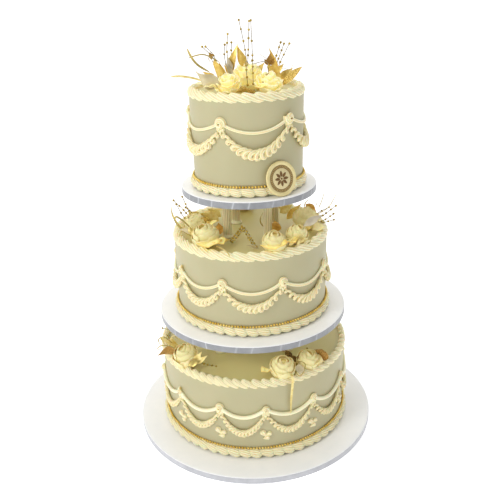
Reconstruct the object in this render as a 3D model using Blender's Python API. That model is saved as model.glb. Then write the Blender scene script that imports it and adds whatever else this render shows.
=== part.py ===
"""Three-tier wedding cake on round drum boards, with fluted pillars between the tiers.

Metres, +Z up, the front towards -Y. The origin is the centre of the bottom board's underside.
Azimuths are in degrees from the front, positive towards +X.
"""

from collections import namedtuple
from math import cos, degrees, hypot, pi, radians, sin

import bmesh
import bpy
from mathutils import Matrix, Vector

# ---- Driving dimensions -------------------------------------------------------------------------
CLEARANCE = 0.0004  # between pieces that touch
BOARD_THICKNESS = 0.011
ROUND_STEPS = 32  # facets of a cake, a board and a bead trim
SHARP_ANGLE = 40.0  # degrees; flatter edges are shaded smooth

BORDER_WIDTH = 0.013  # top border, measured inwards from the cake's side
BORDER_HEIGHT = 0.009  # top border, above the cake's top
RIM_DROP = 0.006  # how far the cake's edge is eased down under its top border
SHELL_HEAD = 0.38  # where along its length a piped shell is fullest

STRING_RADIUS = 0.0021
KNOT_RADIUS = 0.0062
KNOT_HALF_LENGTH = 0.0055
STRING_SAG = 0.0155
GARLAND_START = 0.0105  # below the knots
MOST_STEP = 12.0  # degrees between the sections of a drape string

BEAD_RADIUS = 0.0015

PILLAR_FOOT_RADIUS = 0.0092
PILLAR_SHAFT_RADIUS = 0.0068
PILLAR_FOOT_HEIGHT = 0.0035
PILLAR_SIDES = 8

PETALS = 4
FOOT_INSET = 0.12  # of a rose, towards the axis, in diameters
LEAF_THICKNESS = 0.0012
WIRE_RADIUS = 0.0007
SPRAY_BEAD_RADIUS = 0.0021

Tier = namedtuple(
    "Tier",
    "name board_radius board_top radius_base radius_top height "
    "base_shells base_height base_width top_shells "
    "swags front_knots knot_height garland_sag garland_radius puffs",
)
BOTTOM = Tier(
    "bottom", 0.2032, 0.011, 0.1545, 0.1560, 0.137,
    55, 0.0165, 0.0090, 67,
    12, (-50.0, -21.0, 5.5, 35.5, 65.0), 0.0925, 0.034, 0.0068, 3,
)
MIDDLE = Tier(
    "middle", 0.1548, 0.213, 0.1225, 0.1235, 0.130,
    45, 0.0150, 0.0085, 38,
    9, (-60.0, -21.0, 21.5, 64.5), 0.0880, 0.029, 0.0080, 4,
)
TOP = Tier(
    "top", 0.1058, 0.422, 0.0840, 0.0865, 0.143,
    30, 0.0140, 0.0085, 28,
    5, (-26.0, 42.5), 0.1090, 0.033, 0.0088, 5,
)
TIERS = (BOTTOM, MIDDLE, TOP)

# Each level's four pillars stand in a square: its side, its turn and its centre.
Pillars = namedtuple("Pillars", "name side turn centre")
PILLAR_SETS = (
    Pillars("lower", 0.110, 0.0, (0.0, 0.0)),
    Pillars("upper", 0.064, 12.0, (0.002, -0.010)),
)

# A rose stands on the tier's top: name, tier, centre (x, y), foot above the top, diameter, tilt.
Rose = namedtuple("Rose", "name tier x y lift diameter tilt")
ROSES = (
    Rose("rose_top_centre", TOP, 0.002, -0.010, 0.006, 0.046, 10),
    Rose("rose_top_left", TOP, -0.023, -0.050, 0.004, 0.037, 20),
    Rose("rose_top_right", TOP, 0.028, -0.049, 0.004, 0.039, 20),
    Rose("rose_top_back", TOP, 0.002, 0.046, 0.003, 0.044, 16),
    Rose("rose_middle_left_front", MIDDLE, -0.064, -0.063, 0.004, 0.044, 20),
    Rose("rose_middle_left_back", MIDDLE, -0.084, -0.004, 0.003, 0.038, 18),
    Rose("rose_middle_right_front", MIDDLE, 0.032, -0.093, 0.0065, 0.037, 22),
    Rose("rose_middle_right", MIDDLE, 0.067, -0.064, 0.004, 0.036, 20),
    Rose("rose_middle_right_back", MIDDLE, 0.083, -0.004, 0.006, 0.043, 20),
    Rose("rose_middle_back", MIDDLE, -0.012, 0.086, 0.003, 0.042, 20),
    Rose("rose_bottom_left", BOTTOM, -0.104, -0.088, 0.0075, 0.043, 20),
    Rose("rose_bottom_right_front", BOTTOM, 0.041, -0.127, 0.007, 0.040, 20),
    Rose("rose_bottom_right", BOTTOM, 0.081, -0.107, 0.006, 0.036, 18),
    Rose("rose_bottom_back", BOTTOM, 0.040, 0.122, 0.006, 0.046, 18),
)

# A leaf runs from its stem end to its tip, both above the tier's top. width is its widest, roll turns
# it about its length, and arch is how far its middle rises.
Leaf = namedtuple("Leaf", "name tier finish stem tip width roll arch")
LEAVES = (
    Leaf("leaf_top_front_left", TOP, "champagne",
         (-0.043, -0.062, 0.019), (-0.071, -0.058, 0.040), 0.022, 75, 0.003),
    Leaf("leaf_top_left", TOP, "gold",
         (-0.036, -0.022, 0.008), (-0.047, -0.018, 0.044), 0.012, 75, 0.003),
    Leaf("leaf_top_back_left", TOP, "gold",
         (-0.024, 0.012, 0.020), (-0.012, 0.010, 0.064), 0.016, 80, 0.004),
    Leaf("leaf_top_back_right", TOP, "gold",
         (0.041, 0.004, 0.014), (0.033, 0.010, 0.056), 0.015, 80, 0.004),
    Leaf("leaf_top_right", TOP, "gold",
         (0.052, -0.046, 0.012), (0.077, -0.050, 0.034), 0.012, 65, 0.003),
    Leaf("leaf_middle_left", MIDDLE, "champagne",
         (-0.090, -0.062, 0.014), (-0.110, -0.064, 0.024), 0.010, 30, 0.003),
    Leaf("leaf_middle_right", MIDDLE, "champagne",
         (0.082, -0.044, 0.016), (0.112, -0.038, 0.036), 0.013, 55, 0.003),
    Leaf("leaf_middle_inner", MIDDLE, "bronze",
         (0.040, -0.028, 0.004), (0.041, -0.028, 0.022), 0.019, 80, 0.003),
    Leaf("leaf_bottom_left", BOTTOM, "bronze",
         (-0.126, -0.078, 0.020), (-0.155, -0.080, 0.019), 0.018, 60, 0.003),
    Leaf("leaf_bottom_right", BOTTOM, "bronze",
         (0.102, -0.092, 0.004), (0.106, -0.093, 0.022), 0.022, 85, 0.003),
)

# A spray of beaded wires: the foot where they part and their tips, above the tier's top.
Spray = namedtuple("Spray", "name tier foot tips")
SPRAYS = (
    Spray("spray_top_centre", TOP, (0.002, 0.024, 0.040),
          ((-0.009, 0.022, 0.098), (0.007, 0.022, 0.096))),
    Spray("spray_top_left", TOP, (-0.046, 0.016, 0.016),
          ((-0.066, 0.012, 0.063), (-0.030, 0.030, 0.077))),
    Spray("spray_top_right", TOP, (0.050, 0.022, 0.020),
          ((0.051, 0.032, 0.065), (0.066, 0.022, 0.064))),
    Spray("spray_middle_left", MIDDLE, (-0.106, 0.022, 0.012),
          ((-0.126, 0.012, 0.036), (-0.117, 0.026, 0.042))),
    Spray("spray_middle_right", MIDDLE, (0.106, 0.020, 0.012),
          ((0.134, 0.010, 0.031), (0.126, 0.024, 0.036))),
    Spray("spray_bottom_left", BOTTOM, (-0.128, 0.012, 0.012),
          ((-0.152, 0.006, 0.022), (-0.146, 0.022, 0.024))),
)

PLAQUE_RADIUS = 0.0260
PLAQUE_THICKNESS = 0.003
PLAQUE_AZIMUTH = 30.5
PLAQUE_LEAN = 13.0  # degrees from upright

MATERIAL_FINISHES = {
    # colour, roughness, metallic
    "iced_cake": ((0.62, 0.58, 0.42), 0.45, 0.0),
    "piping": ((0.90, 0.85, 0.60), 0.40, 0.0),
    "board": ((0.86, 0.86, 0.87), 0.35, 0.0),
    "gold_beads": ((0.80, 0.58, 0.16), 0.30, 1.0),
    "pillar": ((0.85, 0.83, 0.76), 0.35, 0.0),
    "petal": ((0.90, 0.85, 0.62), 0.60, 0.0),
    "gold": ((0.80, 0.60, 0.18), 0.35, 1.0),
    "champagne": ((0.74, 0.68, 0.54), 0.45, 0.6),
    "bronze": ((0.50, 0.30, 0.10), 0.45, 0.8),
    "plaque": ((0.80, 0.68, 0.42), 0.45, 0.2),
}


# ---- Helpers ------------------------------------------------------------------------------------
def polar(radius, azimuth, z):
    """The point at an azimuth in degrees from the front."""
    a = radians(azimuth)
    return Vector((radius * sin(a), -radius * cos(a), z))


def side_radius(tier, height):
    """The cake's radius at a height above its board; the sides lean out a little."""
    share = height / tier.height
    return tier.radius_base + (tier.radius_top - tier.radius_base) * share


def cake_top(tier):
    return tier.board_top + tier.height


def material(name):
    """The named finish as a Principled BSDF, made once."""
    found = bpy.data.materials.get(name)
    if found:
        return found
    colour, roughness, metallic = MATERIAL_FINISHES[name]
    made = bpy.data.materials.new(name)
    made.use_nodes = True
    shader = made.node_tree.nodes["Principled BSDF"]
    shader.inputs["Base Color"].default_value = (*colour, 1.0)
    shader.inputs["Roughness"].default_value = roughness
    shader.inputs["Metallic"].default_value = metallic
    made.diffuse_color = (*colour, 1.0)
    return made


def add_object(name, bm, finish):
    """Links a bmesh as a named object, its faces pointing out."""
    bmesh.ops.recalc_face_normals(bm, faces=bm.faces)
    mesh = bpy.data.meshes.new(name)
    bm.to_mesh(mesh)
    bm.free()
    mesh.shade_smooth()
    mesh.set_sharp_from_angle(angle=radians(SHARP_ANGLE))
    mesh.materials.append(material(finish))
    obj = bpy.data.objects.new(name, mesh)
    bpy.context.scene.collection.objects.link(obj)
    return obj


def loft(name, sections, finish, ring=False):
    """A solid through equal polygons: a ring joins the last to the first, otherwise the ends are capped."""
    bm = bmesh.new()
    loops = [[bm.verts.new(p) for p in section] for section in sections]
    pairs = list(zip(loops, loops[1:]))
    if ring:
        pairs.append((loops[-1], loops[0]))
    else:
        bm.faces.new(loops[0])
        bm.faces.new(loops[-1])
    count = len(loops[0])
    for here, there in pairs:
        for i in range(count):
            j = (i + 1) % count
            bm.faces.new((here[i], here[j], there[j], there[i]))
    return add_object(name, bm, finish)


def turned(name, profile, finish, steps=ROUND_STEPS, centre=(0.0, 0.0)):
    """A solid of revolution about a vertical axis, from (radius, z) pairs, bottom to top."""
    sections = []
    for radius, z in profile:
        ring = [polar(radius, 360 * i / steps, z) for i in range(steps)]
        sections.append([p + Vector((*centre, 0.0)) for p in ring])
    return loft(name, sections, finish)


# ---- Boards, cakes and pillars -------------------------------------------------------------------
def add_board(tier):
    bottom = tier.board_top - BOARD_THICKNESS
    turned(f"board_{tier.name}", [(tier.board_radius, bottom), (tier.board_radius, tier.board_top)], "board")


def add_cake(tier):
    """The iced tier: one solid, its top edge eased under the border."""
    top = cake_top(tier)
    profile = [
        (tier.radius_base, tier.board_top + CLEARANCE),
        (side_radius(tier, tier.height - RIM_DROP), top - RIM_DROP),
        (tier.radius_top - BORDER_WIDTH, top),
    ]
    turned(f"cake_{tier.name}", profile, "iced_cake")


def add_pillars(pillars, below, above):
    """Four pillars from one tier's top to the underside of the board above."""
    foot = cake_top(below) + CLEARANCE
    head = above.board_top - BOARD_THICKNESS - CLEARANCE
    profile = [
        (PILLAR_FOOT_RADIUS, foot),
        (PILLAR_SHAFT_RADIUS, foot + PILLAR_FOOT_HEIGHT),
        (PILLAR_SHAFT_RADIUS, head - PILLAR_FOOT_HEIGHT),
        (PILLAR_FOOT_RADIUS, head),
    ]
    corner_distance = pillars.side / 2 * hypot(1, 1)
    for number in range(4):
        corner = polar(corner_distance, 45 + 90 * number - pillars.turn, 0)
        centre = (corner.x + pillars.centre[0], corner.y + pillars.centre[1])
        turned(f"pillar_{pillars.name}_{number + 1}", profile, "pillar", PILLAR_SIDES, centre)


# ---- Piping --------------------------------------------------------------------------------------
def shell_phases(count):
    """(azimuth, fullness) of each shell's neck and head, going round."""
    for shell in range(count):
        yield 360 * shell / count, 0.0
        yield 360 * (shell + SHELL_HEAD) / count, 1.0


def add_base_border(tier):
    """Shells piped in the corner between the cake and its board."""
    sections = []
    for azimuth, fullness in shell_phases(tier.base_shells):
        height = tier.base_height * (0.80 + 0.20 * fullness)
        width = tier.base_width * (0.66 + 0.34 * fullness)
        outline = ((CLEARANCE, CLEARANCE), (0.35 * width, height), (width, 0.28 * height))
        sections.append(
            [polar(side_radius(tier, up) + out, azimuth, tier.board_top + up) for out, up in outline]
        )
    loft(f"base_border_{tier.name}", sections, "piping", ring=True)


def add_top_border(tier):
    """Shells piped round the cake's top edge."""
    sections = []
    top = cake_top(tier)
    for azimuth, fullness in shell_phases(tier.top_shells):
        height = BORDER_HEIGHT * (0.72 + 0.28 * fullness)
        overhang = 0.001 + 0.0022 * fullness
        outline = (
            (-BORDER_WIDTH, CLEARANCE),
            (-0.60 * BORDER_WIDTH, height),
            (overhang, 0.30 * height),
            (CLEARANCE, -RIM_DROP),
        )
        sections.append([polar(tier.radius_top + out, azimuth, top + up) for out, up in outline])
    loft(f"top_border_{tier.name}", sections, "piping", ring=True)


def piped_line(name, tier, stations):
    """Piping along the side. A station is (azimuth, height, slope, half width, stand-off)."""
    steps = [(there[0] - here[0]) % 360 for here, there in zip(stations, stations[1:])]
    chord_clearance = tier.radius_top * (1 / cos(radians(max(steps) / 2)) - 1) + CLEARANCE
    sections = []
    for azimuth, height, slope, half_width, stand_off in stations:
        run = hypot(1, slope)
        along_side, up_side = -slope / run, 1 / run  # square to the line
        section = []
        for shift, out in ((1, 0.0), (0, stand_off), (-1, 0.0)):
            up = height + up_side * half_width * shift
            radius = side_radius(tier, up) + chord_clearance + out
            turn = degrees(along_side * half_width * shift / radius)
            section.append(polar(radius, azimuth + turn, tier.board_top + up))
        sections.append(section)
    loft(name, sections, "piping", ring=True)


def swags(tier):
    """(start, span) in degrees of each swag: the front ones as piped, the others spread evenly."""
    knots = list(tier.front_knots)
    unseen = tier.swags - len(knots) + 1
    rest = (360 + knots[0] - knots[-1]) / unseen
    knots += [knots[-1] + rest * (i + 1) for i in range(unseen)]
    return [(here, there - here) for here, there in zip(knots, knots[1:])]


def sagging(tier, span, share, drop, sag):
    """Height and slope of a swag at a share of its span, drop below the knots at its ends."""
    height = tier.knot_height - drop - 4 * sag * share * (1 - share)
    slope = -4 * sag * (1 - 2 * share) / (radians(span) * tier.radius_top)
    return height, slope


def add_string(tier):
    """The smooth drape string, swelling to a piped knot where two swags meet."""
    stations = []
    for start, span in swags(tier):
        stations.append((start, tier.knot_height, 0.0, KNOT_RADIUS, 0.8 * KNOT_RADIUS))
        knot_share = KNOT_HALF_LENGTH / (radians(span) * tier.radius_top)
        steps = int(span / MOST_STEP) + 1
        for i in range(steps + 1):
            share = knot_share + (1 - 2 * knot_share) * i / steps
            height, slope = sagging(tier, span, share, 0.0, STRING_SAG)
            stations.append((start + share * span, height, slope, STRING_RADIUS, 1.7 * STRING_RADIUS))
    piped_line(f"drape_string_{tier.name}", tier, stations)


def add_garland(tier):
    """The ruffled garland: puffs that grow towards the middle of each swag."""
    stations = []
    count = 2 * tier.puffs
    for start, span in swags(tier):
        for i in range(count):
            share = i / count
            full = 1.0 if i % 2 else 0.78
            half_width = (0.36 + 0.64 * sin(pi * share)) * tier.garland_radius * full
            height, slope = sagging(tier, span, share, GARLAND_START, tier.garland_sag)
            if i == 0:
                slope = 0.0
            stations.append((start + share * span, height, slope, half_width, 1.25 * half_width))
    piped_line(f"garland_{tier.name}", tier, stations)


def add_bead_trim(tier):
    """The string of gold beads, just above the base border."""
    height = tier.base_height + 0.0006 + BEAD_RADIUS
    outline = ((CLEARANCE, -BEAD_RADIUS), (1.9 * BEAD_RADIUS, 0.0), (CLEARANCE, BEAD_RADIUS))
    sections = []
    for i in range(ROUND_STEPS):
        radius = side_radius(tier, height)
        azimuth = 360 * i / ROUND_STEPS
        sections.append(
            [polar(radius + out, azimuth, tier.board_top + height + up) for out, up in outline]
        )
    loft(f"bead_trim_{tier.name}", sections, "gold_beads", ring=True)


# ---- Flowers -------------------------------------------------------------------------------------
def add_rose(rose):
    """A rose of layered petals that leans outwards, on a calyx that stands on the cake."""
    radius = rose.diameter / 2
    # share of the radius, share of the diameter up, depth of the petals' scallop, first petal
    layers = (
        (0.36, 0.06, 0.00, 0),
        (1.06, 0.34, 0.09, 0),
        (0.76, 0.40, 0.03, 0),
        (0.66, 0.60, 0.10, 1),
        (0.28, 0.72, 0.10, 0),
    )
    outwards = Vector((rose.x, rose.y, 0.0)).normalized()
    tilt = Matrix.Rotation(radians(rose.tilt), 3, Vector((0, 0, 1)).cross(outwards))
    top = cake_top(rose.tier)
    head = Vector((rose.x, rose.y, top + rose.lift))
    foot = Vector((rose.x, rose.y, top + CLEARANCE)) - outwards * FOOT_INSET * rose.diameter
    count = 2 * PETALS
    sections = [[foot + polar(0.36 * radius, 360 * i / count, 0) for i in range(count)]]
    for share, up, scallop, first in layers:
        ring = []
        for i in range(count):
            lobe = scallop if (i + first) % 2 else -scallop
            around = polar(radius * share * (1 + lobe), 360 * i / count, rose.diameter * up)
            ring.append(head + tilt @ around)
        sections.append(ring)
    loft(rose.name, sections, "petal")


def add_leaf(leaf):
    """A thin pointed leaf, arched along its length and keeled across it."""
    top = Vector((0, 0, cake_top(leaf.tier)))
    stem, tip = top + Vector(leaf.stem), top + Vector(leaf.tip)
    along = (tip - stem).normalized()
    level = along.cross(Vector((0, 0, 1))).normalized()
    across = Matrix.Rotation(radians(leaf.roll), 3, along) @ level
    normal = across.cross(along)
    sections = []
    for share, width in ((0.0, 0.10), (0.30, 0.92), (0.62, 0.86), (1.0, 0.06)):
        middle = stem.lerp(tip, share) + normal * leaf.arch * sin(pi * share)
        half = across * leaf.width * width / 2
        lift = normal * LEAF_THICKNESS / 2
        fold = normal * leaf.width * width * 0.12
        sections.append([middle - half + fold, middle - lift, middle + half + fold, middle + lift])
    loft(leaf.name, sections, leaf.finish)


def beaded_wire(name, foot, tip):
    """One wire with a bead at its tip."""
    along = (tip - foot).normalized()
    side = along.orthogonal().normalized()
    other = along.cross(side)
    bead_centre = tip - along * SPRAY_BEAD_RADIUS
    stations = (
        (foot, WIRE_RADIUS),
        (bead_centre - along * SPRAY_BEAD_RADIUS, WIRE_RADIUS),
        (bead_centre, SPRAY_BEAD_RADIUS),
        (tip, WIRE_RADIUS),
    )
    sections = []
    for centre, radius in stations:
        angles = [2 * pi * i / 3 for i in range(3)]
        sections.append([centre + radius * (side * cos(a) + other * sin(a)) for a in angles])
    return loft(name, sections, "gold")


def add_spray(spray):
    """Beaded wires that leave one stem, joined into one solid; the stem stands in the cake's top."""
    top = Vector((0, 0, cake_top(spray.tier)))
    foot = top + Vector(spray.foot)
    stem_radius = 3 * WIRE_RADIUS
    profile = [(stem_radius, top.z + CLEARANCE), (stem_radius, foot.z)]
    stem = turned(spray.name, profile, "gold", 4, foot.xy)
    spread = Vector((0, 0, stem_radius))
    for number, tip in enumerate(spray.tips):
        shift = polar(0.4 * stem_radius, 120 * number, 0)
        wire = beaded_wire(f"{spray.name}_wire_{number + 1}", foot - spread + shift, top + Vector(tip))
        wire.hide_render = True
        wire.display_type = "WIRE"
        union = stem.modifiers.new(f"wire {number + 1}", "BOOLEAN")
        union.operation = "UNION"
        union.object = wire


# ---- Plaque --------------------------------------------------------------------------------------
def add_plaque():
    """The round sugar plaque that stands on the top board and leans on the cake's side."""
    steps = 20
    sections = []
    for radius, depth in (
        (PLAQUE_RADIUS - 0.0006, 0.0),
        (PLAQUE_RADIUS, 0.0008),
        (PLAQUE_RADIUS, PLAQUE_THICKNESS),
    ):
        sections.append([polar(radius, 360 * i / steps, -depth) for i in range(steps)])
    plaque = loft("plaque", sections, "plaque")
    lean = Matrix.Rotation(radians(90 - PLAQUE_LEAN), 4, "X")
    turn = Matrix.Rotation(radians(PLAQUE_AZIMUTH), 4, "Z")
    reach = side_radius(TOP, 2 * PLAQUE_RADIUS) + CLEARANCE
    reach += PLAQUE_THICKNESS + PLAQUE_RADIUS * sin(radians(PLAQUE_LEAN))
    rise = PLAQUE_RADIUS * cos(radians(PLAQUE_LEAN)) + PLAQUE_THICKNESS * sin(radians(PLAQUE_LEAN))
    centre = polar(reach, PLAQUE_AZIMUTH, TOP.board_top + rise + CLEARANCE)
    plaque.matrix_world = Matrix.Translation(centre) @ turn @ lean


# ---- Build ---------------------------------------------------------------------------------------
def clear_scene():
    for obj in list(bpy.data.objects):
        bpy.data.objects.remove(obj)


def main():
    clear_scene()
    for tier in TIERS:
        add_board(tier)
        add_cake(tier)
        add_base_border(tier)
        add_top_border(tier)
        add_bead_trim(tier)
        add_string(tier)
        add_garland(tier)
    for pillars, below, above in zip(PILLAR_SETS, TIERS, TIERS[1:]):
        add_pillars(pillars, below, above)
    for rose in ROSES:
        add_rose(rose)
    for leaf in LEAVES:
        add_leaf(leaf)
    for spray in SPRAYS:
        add_spray(spray)
    add_plaque()


main()
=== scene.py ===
"""Dresses the tiered wedding cake: smooth icing, piped borders, swags, sugar roses and foil leaves.

Metres and degrees, with the trim's tables in millimetres. Azimuths run from the front (-Y),
positive towards +X, as in the CAD part.
"""

from collections import namedtuple
from math import atan2, cos, degrees, hypot, pi, radians, sin

import bpy
import numpy as np
from mathutils import Matrix, Vector


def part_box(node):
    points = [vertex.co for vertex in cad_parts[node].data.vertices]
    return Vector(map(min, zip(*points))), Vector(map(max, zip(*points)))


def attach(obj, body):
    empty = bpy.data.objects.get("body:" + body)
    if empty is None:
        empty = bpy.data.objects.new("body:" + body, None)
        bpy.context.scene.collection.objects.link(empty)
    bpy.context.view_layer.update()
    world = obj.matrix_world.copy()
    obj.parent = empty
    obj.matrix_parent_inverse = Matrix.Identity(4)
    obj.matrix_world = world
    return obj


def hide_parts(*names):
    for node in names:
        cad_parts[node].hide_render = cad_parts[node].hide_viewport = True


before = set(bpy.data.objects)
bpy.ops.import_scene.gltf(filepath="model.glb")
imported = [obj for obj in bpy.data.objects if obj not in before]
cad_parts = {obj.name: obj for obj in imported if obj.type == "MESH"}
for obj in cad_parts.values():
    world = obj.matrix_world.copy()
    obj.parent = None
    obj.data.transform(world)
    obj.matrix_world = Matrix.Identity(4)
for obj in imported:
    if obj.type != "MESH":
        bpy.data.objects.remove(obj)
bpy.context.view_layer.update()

RNG = np.random.default_rng(20)
MM = 0.001

# ---- Named sizes that the frame doesn't hold ----
TURNS = 192  # facets of a cake or board
EDGE_ROUND = 0.0045  # of the icing at a cake's top edge
BOARD_ROUND = 0.0009
PILLAR_SHAFT, FLUTES, FLUTE_DEPTH = 0.0068, 14, 0.0011
BOARD_INSET = 0.0006  # of the white top's wrap behind the foil band
BEAD_RADIUS = 0.0020
BEAD_PITCH = 0.0046
BEAD_TRIM_REACH = 0.0029  # of its node, out from the cake's foot
GROOVE_WIDTH = 0.42  # radians, of the dent along a drape string
STRING_SAG = 0.0155
GARLAND_START = 0.0105
PLAQUE_AZIMUTH, PLAQUE_LEAN = 30.5, 13.0
PLAQUE_RADIUS, PLAQUE_THICKNESS = 0.0260, 0.003

# dips: how far each of the front knots hangs below the tier's knot height.
Style = namedtuple(
    "Style",
    "base_shells top_shells knots dips swags knot_height garland_sag garland_width loops"
    " string_width grooved board_seams rim_thick knot_radius",
)
STYLES = {
    "bottom": Style(55, 67, (-50.0, -21.0, 5.5, 35.5, 65.0), (0, 0, 0, 0, 0), 12, 0.0925, 0.034,
                    0.0066, 14, 0.0030, 0.0, 0, 0.0054, 0.0078),
    "middle": Style(45, 38, (-60.0, -21.0, 21.5, 64.5), (0, 0, 0, 0), 9, 0.0880, 0.029,
                    0.0079, 12, 0.0024, 0.34, 27, 0.0068, 0.0084),
    "top": Style(30, 28, (-26.0, 42.5), (0.0030, 0), 5, 0.1118, 0.036,
                 0.0090, 13, 0.0022, 0.30, 24, 0.0066, 0.0098),
}


class Tier:
    """A tier's real sizes, read from the frame, with the style of its piping."""

    def __init__(self, name):
        self.name = name
        self.style = STYLES[name]
        board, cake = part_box(f"board_{name}"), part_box(f"cake_{name}")
        base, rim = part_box(f"base_border_{name}"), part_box(f"top_border_{name}")
        self.board_radius, self.board_low, self.board_top = board[1].y, board[0].z, board[1].z
        self.top, self.radius_top = cake[1].z, cake[1].y
        self.height = self.top - self.board_top
        self.base_height = base[1].z - self.board_top
        self.rim_height, self.rim_low = rim[1].z - self.top, self.top - rim[0].z
        self.rim_reach = rim[1].y
        self.base_reach = base[1].y
        self.radius_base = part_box(f"bead_trim_{name}")[1].y - BEAD_TRIM_REACH

    def wall(self, z):
        """The radius of the iced side at a height."""
        share = np.clip((z - self.board_top) / self.height, 0, 1)
        return self.radius_base + (self.radius_top - self.radius_base) * share

    def knots(self):
        """(azimuth, height) of each knot: the uneven front ones, then the rest, and the first again."""
        style = self.style
        seen = list(style.knots)
        rest = style.swags - len(seen) + 1
        step = (360 + seen[0] - seen[-1]) / rest
        azimuths = seen + [seen[-1] + step * (i + 1) for i in range(rest)]
        dips = list(style.dips) + [0.0] * (rest - 1) + [style.dips[0]]
        return [(azimuth, self.board_top + style.knot_height - dip) for azimuth, dip in zip(azimuths, dips)]


# ---- Mesh making ----
def circle(count, whole=2 * pi):
    """Even steps round a circle, in radians or in the unit of its whole."""
    return np.linspace(0, whole, count, endpoint=False)


def ring_point(radius, azimuth, z):
    """Points from radius, azimuth in degrees and height, as arrays."""
    a = np.radians(azimuth)
    radius, a, z = np.broadcast_arrays(radius, a, z)
    return np.stack([radius * np.sin(a), -radius * np.cos(a), z], -1)


def add_object(name, data):
    made = bpy.data.objects.new(name, data)
    bpy.context.scene.collection.objects.link(made)
    return made


class Mesh:
    """Closed shapes gathered into one joined mesh. tone is a number kept at each point, which most materials
    turn into painted shade and highlights.
    """

    def __init__(self):
        self.points, self.faces, self.tones, self.count = [], [], [], 0

    def add(self, points, faces, tone=0.0):
        """One closed shape; its faces are turned to point out."""
        points = np.asarray(points, float).reshape(-1, 3)
        volume = 0.0
        for block in faces:
            for i in range(1, block.shape[1] - 1):
                a, b, c = points[block[:, 0]], points[block[:, i]], points[block[:, i + 1]]
                volume += np.einsum("ij,ij->", a, np.cross(b, c))
        for block in faces:
            self.faces.append((block if volume > 0 else block[:, ::-1]) + self.count)
        self.points.append(points)
        self.tones.append(np.broadcast_to(np.asarray(tone, float).ravel(), len(points)))
        self.count += len(points)

    def tube(self, grid, tone=0.0, closed=False):
        """A tube through the rows of a grid, of one tone or one for each point; closed joins the last
        row to the first."""
        rows, columns = grid.shape[:2]
        ids = np.arange(rows * columns).reshape(rows, columns)
        wrapped = np.concatenate([ids, ids[:, :1]], 1)
        if closed:
            wrapped = np.concatenate([wrapped, wrapped[:1]])
        faces = [quads(wrapped)]
        if not closed:
            faces += [ids[:1, ::-1], ids[-1:]]
        self.add(grid, faces, np.broadcast_to(tone, (rows, columns)))

    def slab(self, grid, thickness, tone=0.0):
        """A thin sheet of a thickness, given at one point or at each, on both sides of a grid."""
        rows, columns = grid.shape[:2]
        normal = np.cross(np.gradient(grid, axis=0), np.gradient(grid, axis=1))
        normal /= np.maximum(np.linalg.norm(normal, axis=-1, keepdims=True), 1e-12)
        half = normal * np.broadcast_to(thickness, (rows, columns))[..., None] / 2
        over = np.arange(rows * columns).reshape(rows, columns)
        under = over + rows * columns
        rim = [over[0], over[1:, -1], over[-1, -2::-1], over[-2:0:-1, 0]]
        rim = np.concatenate(rim)
        low = rim + rows * columns
        sides = np.stack([rim, np.roll(rim, -1), np.roll(low, -1), low], -1)
        faces = [quads(over), quads(under)[:, ::-1], sides[:, ::-1]]
        tone = np.broadcast_to(tone, (rows, columns)).ravel()
        self.add(np.concatenate([grid + half, grid - half]), faces, np.concatenate([tone, tone]))

    def ball(self, centre, radius):
        self.add(BALL_POINTS * radius + centre, BALL_FACES)

    def piece(self, name, material, slot, *nodes, sharp=None):
        """The finished object, riding on the root body in place of its nodes, if it has any."""
        mesh = bpy.data.meshes.new(name)
        points = np.concatenate(self.points)
        corners = np.concatenate([block.ravel() for block in self.faces])
        sizes = np.concatenate([np.full(len(block), block.shape[1]) for block in self.faces])
        mesh.vertices.add(len(points))
        mesh.vertices.foreach_set("co", points.ravel())
        mesh.loops.add(len(corners))
        mesh.loops.foreach_set("vertex_index", corners)
        mesh.polygons.add(len(sizes))
        mesh.polygons.foreach_set("loop_start", np.concatenate([[0], np.cumsum(sizes)[:-1]]))
        mesh.update(calc_edges=True)
        tones = mesh.attributes.new("tone", "FLOAT", "POINT")
        tones.data.foreach_set("value", np.concatenate(self.tones))
        mesh.shade_smooth()
        if sharp:
            mesh.set_sharp_from_angle(angle=radians(sharp))
        mesh.materials.append(MATERIALS[material])
        made = add_object(name, mesh)
        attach(made, "root")
        if nodes:
            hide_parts(*nodes)


def quads(ids):
    """Faces between the rows and columns of a grid of point numbers."""
    return np.stack([ids[:-1, :-1], ids[:-1, 1:], ids[1:, 1:], ids[1:, :-1]], -1).reshape(-1, 4)


def unit_ball(rings=5, sides=8):
    """Points and faces of a small ball of radius 1."""
    polar = np.linspace(0.12, pi - 0.12, rings)[:, None]
    round_ = circle(sides)[None]
    grid = np.stack(
        [np.sin(polar) * np.cos(round_), np.sin(polar) * np.sin(round_), np.cos(polar) + 0 * round_], -1
    )
    ids = np.arange(rings * sides).reshape(rings, sides)
    wrapped = np.concatenate([ids, ids[:, :1]], 1)
    return grid.reshape(-1, 3), [quads(wrapped), ids[:1, ::-1], ids[-1:]]


BALL_POINTS, BALL_FACES = unit_ball()


def turned(profile, count=TURNS, wobble=None):
    """Rings of points from (radius, z) pairs; wobble(azimuths, z) adds to the radius."""
    azimuth = circle(count, 360)[None]
    radius, z = np.array(profile, float).T[:, :, None]
    if wobble is not None:
        radius = radius + wobble(azimuth, z)
    return ring_point(radius, azimuth, z)


def unit(vectors):
    return vectors / np.maximum(np.linalg.norm(vectors, axis=-1, keepdims=True), 1e-12)


def smooth_path(points, count):
    """A curve of count points through a few given points (Catmull-Rom)."""
    p = np.array(points, float)
    p = np.concatenate([2 * p[:1] - p[1:2], p, 2 * p[-1:] - p[-2:-1]])
    share = np.linspace(0, len(p) - 3 - 1e-9, count)
    i = share.astype(int)
    t = (share - i)[:, None]
    a, b, c, d = p[i], p[i + 1], p[i + 2], p[i + 3]
    return 0.5 * (2 * b + (c - a) * t + (2 * a - 5 * b + 4 * c - d) * t**2 + (3 * b - a - 3 * c + d) * t**3)


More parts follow.
